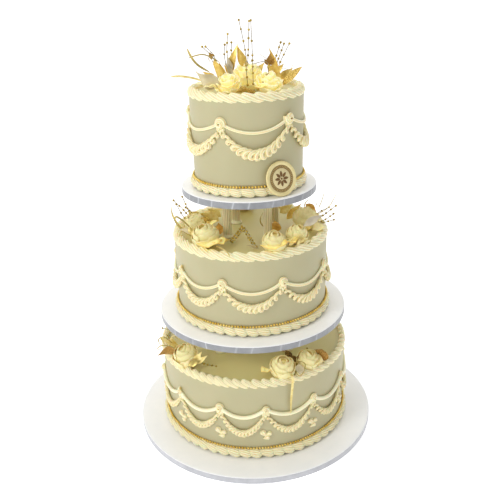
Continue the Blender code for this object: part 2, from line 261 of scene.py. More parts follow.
def rope(mesh, path, radius, out, sides, lobes=0, depth=0.0, twist=0.0, groove=0.0):
    """Icing squeezed along a path: lobes are the star nozzle's ridges, groove one dent facing out; the tone
    paints shade in the valleys and the dent.
    """
    tangent = unit(np.gradient(path, axis=0))
    out = unit(out - tangent * np.sum(out * tangent, -1, keepdims=True))
    side = np.cross(tangent, out)
    round_ = circle(sides)[None]
    along = np.linspace(0, 1, len(path))[:, None]
    ridge = np.abs(np.sin(lobes * round_ / 2 + twist * along)) if lobes else np.ones_like(round_)
    dent = np.exp(-((np.angle(np.exp(1j * round_)) / GROOVE_WIDTH) ** 2))
    share = (1 - depth + depth * ridge) * (1 - groove * dent)
    reach = np.broadcast_to(radius, len(path))[:, None] * share
    grid = path[:, None] + out[:, None] * (reach * np.cos(round_))[..., None]
    grid += side[:, None] * (reach * np.sin(round_))[..., None]
    # painted shade: the tone is high in the valleys between ridges and in the dent
    valley_shade = (1 - ridge) * 1.1 + groove * 2.4 * dent
    mesh.tube(grid, np.clip(valley_shade, 0, 1))


# ---- Materials ----
def linear(colour):
    """An sRGB colour of 0 to 255 as Blender's linear colour; a socket stays as it is."""
    if not isinstance(colour, tuple):
        return colour
    return tuple(((c / 255 + 0.055) / 1.055) ** 2.4 if c > 10 else c / 3294 for c in colour) + (1.0,)


class Shader:
    """A node material under construction."""

    def __init__(self, name, **values):
        self.material = bpy.data.materials.new(name)
        self.material.use_nodes = True
        self.tree = self.material.node_tree
        self.inputs = self.tree.nodes["Principled BSDF"].inputs
        for key, value in values.items():
            self.inputs[key.replace("_", " ")].default_value = value

    def node(self, kind, inputs=None, **settings):
        made = self.tree.nodes.new(kind)
        for key, value in settings.items():
            setattr(made, key, value)
        for key, value in (inputs or {}).items():
            if isinstance(value, bpy.types.NodeSocket):
                self.tree.links.new(value, made.inputs[key])
            else:
                made.inputs[key].default_value = value
        return made

    def noise(self, scale, detail, roughness=0.5):
        where = self.node("ShaderNodeTexCoord").outputs["Object"]
        inputs = {"Scale": scale, "Detail": detail, "Roughness": roughness, "Vector": where}
        return self.node("ShaderNodeTexNoise", inputs).outputs["Fac"]

    def cells(self, scale):
        where = self.node("ShaderNodeTexCoord").outputs["Object"]
        return self.node("ShaderNodeTexVoronoi", {"Vector": where, "Scale": scale}).outputs

    def tone(self):
        return self.node("ShaderNodeAttribute", attribute_name="tone").outputs["Fac"]

    def ramp(self, factor, *stops):
        made = self.node("ShaderNodeValToRGB", {"Fac": factor})
        ramp = made.color_ramp
        for _ in stops[2:]:
            ramp.elements.new(0.5)
        for element, (position, colour) in zip(ramp.elements, stops):
            element.position, element.color = position, linear(colour)
        return made.outputs["Color"]

    def mix(self, factor, a, b):
        made = self.node("ShaderNodeMix", {0: factor, 6: linear(a), 7: linear(b)}, data_type="RGBA")
        return made.outputs[2]

    def colour(self, socket):
        self.tree.links.new(socket, self.inputs["Base Color"])

    def rough(self, factor, low, high):
        made = self.node("ShaderNodeMapRange", {"Value": factor, "To Min": low, "To Max": high})
        self.tree.links.new(made.outputs["Result"], self.inputs["Roughness"])

    def bump(self, height, strength, distance):
        made = self.node("ShaderNodeBump", {"Height": height, "Strength": strength, "Distance": distance})
        self.tree.links.new(made.outputs["Normal"], self.inputs["Normal"])

    def surface(self, rough, relief=None):
        """The finished material. rough is a noise's scale and detail and the roughness at its ends;
        relief is a noise's scale, detail and roughness, and the bump's strength and distance."""
        self.rough(self.noise(*rough[:2]), *rough[2:])
        if relief:
            self.bump(self.noise(*relief[:-2]), *relief[-2:])
        return self.material


def grained(name, grain, low, high, rough, relief=None, ends=(0.3, 0.7), painted_light_tone=None, **values):
    """A material coloured from low to high by a noise, and where the tone is 1, by a colour painted in for
    light and shade.
    """
    s = Shader(name, **values)
    shade = s.ramp(s.noise(*grain), (ends[0], low), (ends[1], high))
    s.colour(s.mix(s.tone(), shade, painted_light_tone) if painted_light_tone else shade)
    return s.surface(rough, relief)


def piping_material():
    s = Shader("piped_icing", Subsurface_Weight=0.18, Subsurface_Scale=0.003)
    # Ivory on the ridges; where the tone is high, the yellow is painted shade in the valleys and grooves. A
    # noise pulls part of it towards a plain ivory.
    shade = s.mix(s.tone(), (255, 250, 210), (232, 192, 82))
    s.colour(s.mix(s.noise(160, 3), shade, s.mix(0.5, shade, (250, 240, 205))))
    return s.surface((90, 2, 0.34, 0.48), (900, 4, 0.6, 0.18, 0.0004))


def board_material():
    """White embossed foil: a fine hammered grain and a satin gloss."""
    s = Shader("board_top_foil", Specular_IOR_Level=0.5)
    s.colour(s.ramp(s.noise(40, 3), (0.3, (249, 250, 250)), (0.7, (254, 254, 253))))
    s.bump(s.cells(420)["Distance"], 0.10, 0.0005)
    return s.surface((25, 2, 0.26, 0.38))


def edge_foil(name, low, high, metallic):
    # tone 1 gives the pale colour: a painted highlight along the band's folds
    return grained(name, (55, 4, 0.6), low, high, (70, 2, 0.28, 0.42), (350, 4, 0.5, 0.2, 0.0005),
                   painted_light_tone=(226, 229, 234), Metallic=metallic)


def pillar_material():
    s = Shader("pillar_plastic", Subsurface_Weight=0.25, Subsurface_Scale=0.005)
    # the darker colour, where the tone is high, is painted shade in the flutes
    s.colour(s.mix(s.tone(), (230, 219, 178), (180, 164, 112)))
    return s.surface((120, 2, 0.28, 0.40), (500, 3, 0.5, 0.08, 0.0003))


def petal_material(name, edge, middle, deep, painted_glow):
    # painted light: the petals glow faintly in their middle colour, to lift the shade between them
    s = Shader(name, Subsurface_Weight=0.2, Subsurface_Scale=0.003, Sheen_Weight=0.15,
               Emission_Strength=painted_glow, Emission_Color=linear(middle))
    # the deep colour, at tone 1, is painted shade deep in a rose; on the loose edged petals it is their gold
    # rim
    shade = s.ramp(s.tone(), (0.0, edge), (0.45, middle), (1.0, deep))
    s.colour(s.mix(0.25, shade, s.ramp(s.noise(130, 3), (0.3, middle), (0.7, edge))))
    return s.surface((200, 2, 0.42, 0.60), (420, 5, 0.65, 0.25, 0.0005))


def foil(name, dark, light, rough, metallic):
    """Crinkled foil: broad creases and a fine grain."""
    return grained(name, (140, 4, 0.6), dark, light, (240, 3, rough - 0.08, rough + 0.12),
                   (260, 4, 0.7, 0.55, 0.0009), ends=(0.32, 0.68), Metallic=metallic)


def glitter(name, dark, light):
    s = Shader(name, Metallic=0.6)
    cells = s.cells(1500)
    sparkle = s.node("ShaderNodeSeparateColor", {0: cells["Color"]}).outputs[0]
    s.colour(s.ramp(sparkle, (0.2, dark), (0.85, light)))
    s.rough(cells["Distance"], 0.3, 0.6)
    s.bump(cells["Distance"], 0.5, 0.0006)
    return s.material


def satin(name, low, high):
    return grained(name, (70, 3), low, high, (60, 2, 0.34, 0.48), (900, 3, 0.5, 0.25, 0.0003),
                   Metallic=0.25, Sheen_Weight=0.5, Sheen_Roughness=0.35)


def paste(name, low, high, grain):
    return grained(name, (grain, 4, 0.6), low, high, (150, 2, 0.36, 0.5), (700, 3, 0.5, 0.2, 0.0003),
                   Metallic=0.15)


MATERIALS = {
    # Each cake's flat top (tone 1) gets its own colour, painted light and shade: it is the same icing as the
    # side.
    "icing": grained("smooth_icing", (9, 4), (184, 177, 137), (192, 185, 146), (30, 3, 0.40, 0.52),
                     (220, 5, 0.6, 0.12, 0.0006), painted_light_tone=(210, 198, 134),
                     Subsurface_Weight=0.12, Subsurface_Scale=0.004),
    "piping": piping_material(),
    "beads": grained("gold_beads", (60, 2), (228, 186, 72), (250, 222, 130), (300, 2, 0.22, 0.38),
                     ends=(0.35, 0.65), Metallic=0.7),
    "board": board_material(),
    "edge": edge_foil("board_edge_foil", (136, 138, 142), (158, 160, 164), 0.2),
    "base_edge": edge_foil("base_board_edge", (182, 183, 188), (200, 201, 206), 0.1),
    "pillar": pillar_material(),
    # Petals go from edge to middle to deep colour; the deep one is painted shade, and the last number a
    # painted glow.
    "petal": petal_material("ivory_petals", (255, 248, 208), (254, 239, 160), (252, 206, 86), 0.12),
    "petal_warm": petal_material("satin_petals", (242, 229, 172), (234, 214, 138), (232, 192, 86), 0.06),
    "edged_petal": petal_material("gold_edged_petals", (252, 243, 186), (252, 232, 130), (226, 176, 54),
                                  0.12),
    "gold": foil("gold_foil", (216, 174, 72), (252, 226, 138), 0.34, 0.55),
    "pale_gold": foil("pale_gold_foil", (228, 200, 112), (252, 238, 168), 0.38, 0.45),
    "champagne": satin("champagne_satin", (194, 180, 140), (222, 210, 174)),
    "silver": satin("silver_satin", (192, 182, 158), (220, 210, 188)),
    "antique": foil("antique_gold", (164, 144, 76), (218, 196, 118), 0.34, 0.6),
    "bronze": glitter("bronze_glitter", (138, 100, 42), (204, 160, 86)),
    "amber": foil("amber_foil", (208, 156, 66), (238, 192, 104), 0.36, 0.3),
    "glitter": glitter("gold_glitter", (170, 134, 46), (244, 214, 126)),
    "dark": glitter("dark_glitter", (78, 58, 32), (176, 142, 78)),
    "wire": foil("gold_wire", (104, 92, 66), (168, 152, 112), 0.35, 0.6),
    "spray_bead": foil("spray_beads", (146, 120, 40), (216, 188, 90), 0.26, 0.7),
    "plaque": paste("plaque_body", (228, 210, 146), (240, 226, 170), 200),
    "plaque_ring": paste("plaque_ring", (164, 138, 78), (206, 182, 120), 600),
    "plaque_field": paste("plaque_field", (220, 202, 148), (234, 220, 170), 420),
    "plaque_print": paste("plaque_print", (92, 64, 28), (142, 106, 56), 500),
}


# ---- Boards, cakes and pillars ----
def add_board(tier):
    """A drum board: the white top wraps over the rim, and a foil band runs round the edge."""
    radius, low, top = tier.board_radius, tier.board_low, tier.board_top
    edge, side = BOARD_ROUND, radius - BOARD_INSET
    mesh = Mesh()
    profile = [(radius - 0.004, low), (side - edge, low + 0.0002)]
    profile += [(side, low + edge), (side, top - 1.4 * edge)]
    profile += [(side - edge * (1 - cos(t)), top - edge * (1 - sin(t))) for t in (0.0, 0.5, 1.0, 1.57)]
    profile += [(radius - 0.006, top), (radius * 0.5, top)]
    mesh.tube(turned(profile))
    mesh.piece(f"board_{tier.name}_top", "board", "board_cover", f"board_{tier.name}", sharp=50)
    add_board_band(tier)


def add_board_band(tier):
    """The foil band, with slanted overlapping folds where the foil was pleated round the drum, and a painted
    highlight on each fold.
    """
    seams = tier.style.board_seams
    radius, low, top = tier.board_radius, tier.board_low, tier.board_top
    columns = 720
    azimuth = circle(columns, 360)[None]
    up = np.linspace(0, 1, 5)[:, None]
    z = low + 0.0002 + (top - low - 0.0014) * up
    fold = np.zeros_like(z + azimuth)
    for i in range(seams):
        place = 360 * (i + RNG.uniform(-0.22, 0.22)) / seams
        slant = RNG.uniform(0.6, 1.8) * (0.1058 / radius) * np.sign(RNG.uniform(-0.4, 1))
        offset = (azimuth - place - slant * up + 180) % 360 - 180
        width = degrees(0.0010 / radius)
        fold += RNG.uniform(0.5, 1.0) * np.exp(-((offset / width) ** 2))
    outer = radius - 0.00035 + 0.00035 * np.clip(fold, 0, 1)
    grid = np.stack([ring_point(outer[i], azimuth[0], z[i]) for i in range(len(z))])
    inner = ring_point(radius - 0.0016, azimuth, np.array([z[-1, 0], z[0, 0]])[:, None] + 0 * azimuth)
    mesh = Mesh()
    # painted highlight: the folds' tone lights the foil there
    tone = np.concatenate([np.clip(fold, 0, 1) * 0.6, np.zeros((2, columns))])
    around = np.concatenate([grid, inner]).transpose(1, 0, 2)
    mesh.tube(around, tone.T, closed=True)
    finish = "edge" if seams else "base_edge"
    mesh.piece(f"board_{tier.name}_band", finish, "board_cover", sharp=50)


def add_cake(tier):
    """The iced tier, with a soft top edge and the slight unevenness of icing smoothed by hand."""
    phases = RNG.uniform(0, 2 * pi, 4)

    def wobble(azimuth, z):
        a = np.radians(azimuth)
        waves = np.sin(2 * a + phases[0]) + 0.6 * np.sin(5 * a + phases[1] + 30 * z)
        return 0.00012 * (waves + 0.5 * np.sin(9 * a + phases[2] - 60 * z)) - 0.0003

    low, top, radius = tier.board_top + 0.0002, tier.top, tier.radius_top
    profile = [(tier.wall(z), z) for z in np.linspace(low, top - EDGE_ROUND - 0.002, 10)]
    for t in np.linspace(0, pi / 2, 7):
        profile.append((radius - EDGE_ROUND * (1 - cos(t)), top - 0.001 - EDGE_ROUND * (1 - sin(t))))
    profile += [(radius * share, top - 0.0002) for share in (0.9, 0.6, 0.3, 0.02)]
    mesh = Mesh()
    # tone 1 on the flat top, where the icing's colour is painted light and shade
    mesh.tube(turned(profile, wobble=wobble), [[float(z > top - 0.0005)] for _, z in profile])
    mesh.piece(f"cake_{tier.name}_icing", "icing", "icing", f"cake_{tier.name}", sharp=60)


def add_pillar(node):
    """A fluted column with a moulded foot and head, made whole inside its CAD solid."""
    low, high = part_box(node)
    centre = (low + high) / 2
    foot_radius, foot, head = (high.x - low.x) / 2, low.z, high.z
    shaft = PILLAR_SHAFT
    heights = [(0, foot_radius), (0.0016, foot_radius), (0.0022, foot_radius * 0.9), (0.0030, shaft * 1.12)]
    heights += [(0.0042, shaft * 1.12), (0.0052, shaft)]
    profile = [(foot + up, r) for up, r in heights]
    profile += [(z, shaft) for z in np.linspace(foot + 0.007, head - 0.007, 4)]
    profile += [(head - up, r) for up, r in reversed(heights)]
    z = np.array([p[0] for p in profile])[:, None]
    radius = np.array([p[1] for p in profile])[:, None]
    a = circle(6 * FLUTES)[None]
    dent = (1 - np.abs(np.sin(FLUTES * a / 2))) * (radius <= shaft * 1.001)
    reach = radius - FLUTE_DEPTH * dent
    grid = np.stack([centre.x + reach * np.cos(a), centre.y + reach * np.sin(a), z + 0 * a], -1)
    mesh = Mesh()
    # the tone paints shade in the flutes
    mesh.tube(grid, 0.8 * dent)
    mesh.piece(f"{node}_fluted", "pillar", "pillar", node, sharp=50)


# ---- Piping ----
SHELL_STATIONS = np.array([0.0, 0.025, 0.08, 0.16, 0.26, 0.38, 0.50, 0.62, 0.74, 0.87, 1.0])
RIM_STATIONS = np.concatenate([SHELL_STATIONS[:4], np.linspace(0.2, 0.86, 9), [0.91, 0.95, 0.98, 1.0]])
HEAD_SHARE = 0.24  # of a shell's length that is its round head
TIP_SHARE = 0.80  # of the length, where the tail starts to round off
BASE_OVERLAP, RIM_OVERLAP = 2.2, 1.8  # a shell's length, in pitches
BASE_DRIFT = (-0.0034, 0.0044)  # of a foot shell's tail, out and up from its head
BASE_TAIL = 0.12  # of a foot shell's thickness that is left at its tail
RIM_TAIL = 0.72  # of a rim shell's
RIM_HANG = 0.0028  # the tails' undersides below the border's lower edge, inside the cake


def fullness(share, tail):
    """A shell's thickness along it: a round head, a taper down to the tail, and its rounded tip."""
    head = np.sqrt(np.clip(1 - ((HEAD_SHARE - share) / HEAD_SHARE) ** 2, 0.02, 1))
    taper = 1 - (1 - tail) * np.clip((share - HEAD_SHARE) / (1 - HEAD_SHARE), 0, 1) ** 1.15
    closing = np.sqrt(np.clip(1 - ((share - TIP_SHARE) / (1 - TIP_SHARE)) ** 2, 0.04, 1))
    return np.where(share < HEAD_SHARE, head, taper * np.where(share > TIP_SHARE, closing, 1.0))


def add_shell(mesh, place, length, half_out, half_up, tail, drift=(0.0, 0.0), lobes=6, twist=0.8,
              depth=0.2, sides=24, stations=SHELL_STATIONS):
    """One star-nozzle shell. place(along, out, up) puts its own metres on the cake; its head is at 0
    and its tail at -length, and drift is how far the tail sits out and up from the head."""
    share = stations[:, None]
    round_ = circle(sides)[None]
    ridge = np.abs(np.sin(lobes * round_ / 2 + twist * share))
    reach = fullness(share, tail) * (1 - depth + depth * ridge)
    along = -length * (share - HEAD_SHARE) + 0 * round_
    out = drift[0] * share + half_out * reach * np.cos(round_)
    up = drift[1] * share + half_up * reach * np.sin(round_)
    # painted shade: the tone is deepest in the grooves between the ridges and grows towards the tail, which
    # tucks under the next shell
    mesh.tube(place(along, out, up), np.clip(0.95 * (1 - ridge) ** 1.8 + 0.15 * share, 0, 1))


def add_base_border(tier):
    """Fat shells in the corner between the cake and its board, their heads to the right."""
    count, mesh = tier.style.base_shells, Mesh()
    pitch = 2 * pi * tier.radius_base / count
    half_up = 0.52 * tier.base_height
    half_out = 0.66 * (tier.base_reach - tier.radius_base)
    centre_radius = tier.base_reach - half_out
    for i in range(count):
        size = RNG.uniform(0.93, 1.03)
        azimuth = 360 * (i + RNG.uniform(-0.07, 0.07)) / count

        def place(along, out, up):
            z = np.maximum(tier.board_top + 0.0001, tier.board_top + 0.92 * half_up + up)
            radius = np.maximum(centre_radius + out, tier.wall(z) - 0.0004)
            return ring_point(radius, azimuth + np.degrees(along / centre_radius), z)

        add_shell(mesh, place, BASE_OVERLAP * pitch, half_out * size, half_up * size, BASE_TAIL, BASE_DRIFT,
                  lobes=10, twist=-2.2, depth=0.28, sides=50)
    mesh.piece(f"base_border_{tier.name}_shells", "piping", "piping", f"base_border_{tier.name}")


def add_top_border(tier):
    """Slanted shells round the rim: each head sits up and in, and its tail sweeps out, down and right."""
    style, mesh = tier.style, Mesh()
    thick = style.rim_thick
    half_up = 1.06 * thick
    spread = thick * (1 - RIM_TAIL) + 0.0018
    drop = tier.rim_height + tier.rim_low - (1 + RIM_TAIL) * half_up + RIM_HANG
    head_radius = tier.rim_reach - thick - spread + 0.0010
    head_z = tier.top + tier.rim_height - half_up
    pitch = 2 * pi * head_radius / style.top_shells
    bed_at = np.linspace(0, 360, TURNS + 1)
    bed = ring_point(tier.rim_reach - 1.55 * thick, bed_at, head_z - 0.6 * drop)[:-1]
    section = circle(12)[None, :, None]
    up = np.array([0.0, 0.0, 1.0])
    grid = bed[:, None] + 0.75 * thick * (outwards(bed)[:, None] * np.cos(section) + up * np.sin(section))
    # the bed beneath the shells takes tone 0.85, a painted shade
    mesh.tube(grid, 0.85, closed=True)
    for i in range(style.top_shells):
        size = RNG.uniform(0.95, 1.05)
        azimuth = 360 * (i + RNG.uniform(-0.08, 0.08)) / style.top_shells

        def place(along, out, up):
            radius = np.minimum(head_radius + out, tier.rim_reach)
            z = np.clip(head_z + up, tier.top - tier.rim_low - 0.0012, tier.top + tier.rim_height)
            return ring_point(radius, azimuth - np.degrees(along / head_radius), z)

        add_shell(mesh, place, RIM_OVERLAP * pitch, thick * size, half_up * size, RIM_TAIL, (spread, -drop),
                  lobes=9, twist=8.0, depth=0.28, sides=54, stations=RIM_STATIONS)
    mesh.piece(f"top_border_{tier.name}_shells", "piping", "piping", f"top_border_{tier.name}")


def swag_path(tier, ends, share, drop, sag):
    """(azimuth, height, slope) along a swag that hangs between two knots."""
    (start, high), (end, low) = ends
    height = high + (low - high) * share - drop - 4 * sag * share * (1 - share)
    slope = (low - high - 4 * sag * (1 - 2 * share)) / (radians(end - start) * tier.radius_top)
    return start + share * (end - start), height, slope


def side_frame(tier, azimuth, height, slope, across, out):
    """Points beside a line on the side: across is square to the line, out away from the wall."""
    run = np.hypot(1, slope)
    z = height + across / run
    turn = np.degrees(-across * slope / run / tier.radius_top)
    return ring_point(tier.wall(z) + out, azimuth + turn, z)


def outwards(points):
    flat = points * np.array([1.0, 1.0, 0.0])
    return unit(flat)


def add_strings(tier):
    """The drape strings with a coiled knot where two swags meet."""
    knots, mesh = tier.knots(), Mesh()
    width = tier.style.string_width
    for ends in zip(knots, knots[1:]):
        share = np.linspace(0.0, 1.0, 28)
        sag = STRING_SAG * RNG.uniform(0.94, 1.02)
        azimuth, height, slope = swag_path(tier, ends, share, 0.0, sag)
        path = side_frame(tier, azimuth, height, slope, 0 * share, 0.75 * width)
        rope(mesh, path, width, outwards(path), 20, groove=tier.style.grooved)
    for azimuth, height in knots[:-1]:
        add_knot(mesh, tier, azimuth, height)
    mesh.piece(f"drape_string_{tier.name}_piped", "piping", "piping", f"drape_string_{tier.name}")


def add_knot(mesh, tier, azimuth, height):
    """A rosette: star-nozzle icing coiled inwards and outwards from the wall to a raised middle."""
    size = tier.style.knot_radius
    turns = np.linspace(0, 1, 38)
    angle = 2 * pi * 1.9 * turns + RNG.uniform(0, 2 * pi)
    reach = size * (0.62 - 0.60 * turns)
    path = side_frame(tier, azimuth + np.degrees(reach * np.cos(angle) / tier.radius_top), height - 0.0012,
                      0.0, 1.15 * reach * np.sin(angle), 0.0014 + 0.0044 * turns)
    radius = size * 0.42 * (1 - 0.25 * turns)
    rope(mesh, path, radius, outwards(path), 20, lobes=5, depth=0.30, twist=3.0)


def add_garlands(tier):
    """The garlands: a star-nozzle rope piped in overlapping loops along each swag, fullest mid-way."""
    knots, mesh, style = tier.knots(), Mesh(), tier.style
    for ends in zip(knots, knots[1:]):
        loops = style.loops
        share = np.linspace(0.0, 1.0, loops * 12)
        phase = 2 * pi * loops * share + 0.35 * np.sin(9 * share + RNG.uniform(0, 6))
        half = style.garland_width * (0.50 + 0.50 * np.sin(pi * share)) * RNG.uniform(0.96, 1.02)
        thick = 0.37 * half + 0.0004
        swing = 0.52 * half * np.sin(phase) / (tier.radius_top * radians(ends[1][0] - ends[0][0]))
        line = np.clip(0.02 + 0.96 * share + swing, 0, 1)
        azimuth, height, slope = swag_path(tier, ends, line, GARLAND_START, style.garland_sag)
        across = (half - thick) * np.cos(phase) * (1 + 0.10 * np.sin(2.3 * phase))
        out = thick * (1.15 - 0.55 * np.sin(phase))
        path = side_frame(tier, azimuth, height, slope, across, out)
        rope(mesh, path, thick, outwards(path), 15, lobes=5, depth=0.30, twist=loops * 1.7)
    for azimuth, height in knots[:-1]:
        add_tassel(mesh, tier, azimuth, height)
    mesh.piece(f"garland_{tier.name}_loops", "piping", "piping", f"garland_{tier.name}")


def hanging(tier, azimuth, height, sideways=0.0, turn=0.0):
    """A place for a shell that hangs down the side, its head at the top, turned by some degrees."""
    c, s = cos(radians(turn)), sin(radians(turn))

    def place(along, out, up):
        across, rise = sideways + c * up - s * along, c * along + s * up
        z = height + rise
        return ring_point(tier.wall(z) + 0.0008 + out, azimuth + np.degrees(across / tier.radius_top), z)

    return place


def add_tassel(mesh, tier, azimuth, height):
    """Small shells that hang under a knot and cover the ends of two garlands."""
    for sideways, drop, turn in ((-0.0030, 0.0080, -14), (0.0032, 0.0085, 16), (0, 0.0115, 0)):
        place = hanging(tier, azimuth, height - drop, sideways, turn)
        add_shell(mesh, place, 0.0095, 0.0034, 0.0034, 0.2, depth=0.22)


def add_bead_trim(tier):
    """The string of gold beads that rests on the base border."""
    low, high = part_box(f"bead_trim_{tier.name}")
    z = (low.z + high.z) / 2
    radius = float(tier.wall(z)) + 0.8 * BEAD_RADIUS
    count, mesh = round(2 * pi * radius / BEAD_PITCH), Mesh()
    for i in range(count):
        shift = RNG.uniform(-0.0002, 0.0002)
        mesh.ball(ring_point(radius, 360 * i / count, z + shift), BEAD_RADIUS * RNG.uniform(0.94, 1.0))
    mesh.piece(f"bead_trim_{tier.name}_beads", "beads", "gold_beads", f"bead_trim_{tier.name}")


def add_trios(tier):
    """Three drops under each of the bottom tier's knots: a large one and two small beside it."""
    mesh = Mesh()
    drops = ((-0.0050, 0.0440, 38, 1.75), (0.0064, 0.0470, -72, 1.4), (0.0034, 0.0545, -78, 1.4))
    for azimuth, height in tier.knots()[:-1]:
        for sideways, fall, turn, size in drops:
            place = hanging(tier, azimuth, height - fall, sideways, turn)
            add_shell(mesh, place, 0.0085 * size, 0.0026 * size, 0.0030 * size, 0.1)
    mesh.piece(f"trio_drops_{tier.name}", "piping", "piping")


# ---- Roses ----
# Petal layers from the guard petals in to the bud: how many, their half angle in degrees, and their
# side view from foot to lip as (reach, rise) in shares of the rose's radius.
Layer = namedtuple("Layer", "petals half_angle profile")
OPEN_ROSE = (
    Layer(5, 52, ((0.20, 0.02), (0.74, 0.10), (1.04, 0.32), (1.14, 0.44))),
    Layer(4, 60, ((0.18, 0.06), (0.66, 0.22), (0.86, 0.54), (0.98, 0.70))),
    Layer(3, 78, ((0.14, 0.10), (0.48, 0.32), (0.62, 0.70), (0.70, 0.88))),
    Layer(2, 104, ((0.08, 0.12), (0.26, 0.42), (0.34, 0.78), (0.38, 0.98))),
)
CLOSED_ROSE = (
    Layer(4, 58, ((0.22, 0.02), (0.84, 0.06), (1.08, 0.32), (1.04, 0.60))),
    Layer(3, 78, ((0.20, 0.06), (0.82, 0.20), (0.94, 0.56), (0.72, 0.84))),
    Layer(2, 108, ((0.12, 0.10), (0.62, 0.34), (0.74, 0.72), (0.40, 0.97))),
    Layer(1, 172, ((0.05, 0.14), (0.32, 0.44), (0.42, 0.80), (0.20, 1.03))),
)
ROSE_TILT = 18.0  # degrees outwards
ROSE_FILL = 0.475  # the rose's radius, as a share of its solid's width
PROFILE_STEPS = 60


def add_petal(mesh, place, angle, layer, radius, open_):
    """One broad cupped petal with a rounded, softly waved lip; open_ spreads and ruffles it."""
    profile = smooth_path(layer.profile, PROFILE_STEPS)
    a = np.linspace(-1, 1, 19)[:, None]
    b = np.linspace(0, 1, 11)[None] * (1 - 0.17 * np.abs(a) ** 3)
    p = RNG.uniform(0, 2 * pi, 4)
    at, steps = b * (PROFILE_STEPS - 1), np.arange(PROFILE_STEPS)
    reach = np.interp(at, steps, profile[:, 0]) * RNG.uniform(0.95, 1.03)
    rise = np.interp(at, steps, profile[:, 1]) * RNG.uniform(0.95, 1.03)
    wave = (0.022 + 0.050 * open_) * b**3
    rise = rise + wave * np.sin(2.1 * pi * a + p[0]) + 0.3 * wave * np.sin(4.3 * pi * a + p[1])
    reach = reach + wave * np.cos(2.3 * pi * a + p[2]) + 0.035 * a * b + 0.05 * np.clip(b - 0.8, 0, 1)
    pleat = 0.013 * b * np.sin(19 * a + p[3])
    reach += pleat
    spread = radians(layer.half_angle) * (0.70 + 0.30 * np.sin(pi * np.clip(b, 0, 1) * 0.60))
    turn = angle + a * spread
    grid = radius * np.stack([reach * np.cos(turn), reach * np.sin(turn), rise], -1)
    # painted shade: the tone rises towards the petal's foot and in the inward folds of its pleats
    tone = np.clip(0.80 - 1.05 * b - 14 * pleat, 0, 1)
    mesh.slab(place(grid), 0.0008 - 0.0003 * b, tone)


def add_rose(node, finish, layers, open_):
    """A rose of layered petals on its CAD solid's place, leaning outwards from the cake."""
    low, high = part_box(node)
    centre = (low + high) / 2
    radius = ROSE_FILL * max(high.x - low.x, high.y - low.y)
    height = high.z - low.z
    out = Vector((centre.x, centre.y, 0)).normalized()
    tilt = np.array(Matrix.Rotation(radians(ROSE_TILT), 3, Vector((0, 0, 1)).cross(out)))
    foot = np.array(centre - Vector((0, 0, 0.42 * height)) - out * 0.14 * radius)
    stretch = np.array([1.0, 1.0, 0.86 * height / radius])

    def place(grid):
        return foot + (grid * stretch) @ tilt.T

    mesh = Mesh()
    first = atan2(out.y, out.x) + RNG.uniform(-0.3, 0.3)
    for number, layer in enumerate(layers):
        for i in range(layer.petals):
            angle = first + 2 * pi * (i + 0.5 * (number % 2)) / layer.petals + RNG.uniform(-0.12, 0.12)
            add_petal(mesh, place, angle, layer, radius, open_)
    add_core(mesh, place, radius, layers)
    add_calyx(mesh, foot, np.array([centre.x, centre.y, low.z]), radius)
    mesh.piece(f"{node}_petals", finish, "petal", node)


def add_core(mesh, place, radius, layers):
    """The bud that fills the rose behind its inner petals, in a yellow painted as the shade deep inside the
    rose.
    """
    inner = layers[2].profile
    reach = np.array([0.55 * inner[1][0], inner[1][0], inner[2][0], 0.62 * inner[2][0], 0.02])[:, None] * 0.82
    rise = np.array([0.06, inner[1][1], inner[2][1], 0.5 * (inner[2][1] + inner[3][1]), 0.94])[:, None] * 0.96
    round_ = circle(18)[None]
    grid = radius * np.stack([reach * np.cos(round_), reach * np.sin(round_), rise + 0 * round_], -1)
    mesh.tube(place(grid), 0.45)


def add_calyx(mesh, head, ground, radius):
    """The cone of sugar paste that holds the petals and stands on the cake."""
    share = np.linspace(0, 1, 4)[:, None, None]
    centre = ground + (head - ground) * share
    centre[0, 0, 2] = ground[2] + 0.0001
    round_ = circle(12)[None, :, None]
    reach = radius * (0.20 + 0.14 * share)
    ring = np.concatenate([np.cos(round_), np.sin(round_), 0 * round_], -1)
    # tone 0.8: the cone beneath the petals is painted in the deep yellow of shade
    mesh.tube(centre + reach * ring, 0.8)


# ---- Leaves, ribbons, wires and other trim ----
LEAF_THICKNESS, RIBBON_THICKNESS = 0.0005, 0.0003
RIBBON_ROLL = (20, 60)  # degrees, at its start and its end
RIBBON_END = 0.25  # of its width that is left at its ends
WIRE_RADIUS, WIRE_BEAD_RADIUS = 0.0005, 0.0019


def add_leaf(mesh, stem, tip, width, roll=0.0, arch=0.003, crease=0.16, waves=0.0, widest=0.45, bow=0.0,
             point=1.1, edge=0.0):
    """A pointed leaf from its stem end to its tip, folded along its middle. roll turns it about its
    length, bow bends it in its own plane by some metres, a large point draws its tip out thin, and
    edge is how strongly its rim differs."""
    stem, tip = Vector(stem), Vector(tip)
    along = (tip - stem).normalized()
    level = along.cross(Vector((0, 0, 1)))
    level = level.normalized() if level.length > 0.05 else Vector((1, 0, 0))
    across = Matrix.Rotation(radians(roll), 3, along) @ level
    normal = np.array(across.cross(along))
    b = np.linspace(0, 1, 13)[:, None]
    a = np.linspace(-1, 1, 7)[None]
    rise = np.clip(np.where(b < widest, b / widest, (1 - b) / (1 - widest)), 0, 1)
    half = width / 2 * (0.04 + 0.96 * np.sin(rise * pi / 2) ** np.where(b < widest, 0.9, point))
    lift = arch * np.sin(pi * b) + crease * half * np.abs(a) + waves * half * np.sin(9 * b + 2 * a)
    sideways = half * a + bow * np.sin(pi * b)
    grid = np.array(stem) + np.array(tip - stem) * b[..., None] + np.array(across) * sideways[..., None]
    grid = grid + normal * lift[..., None]
    mesh.slab(grid, LEAF_THICKNESS, np.clip(0.3 * np.abs(a) + edge * (np.abs(a) ** 4 + b**6), 0, 1))


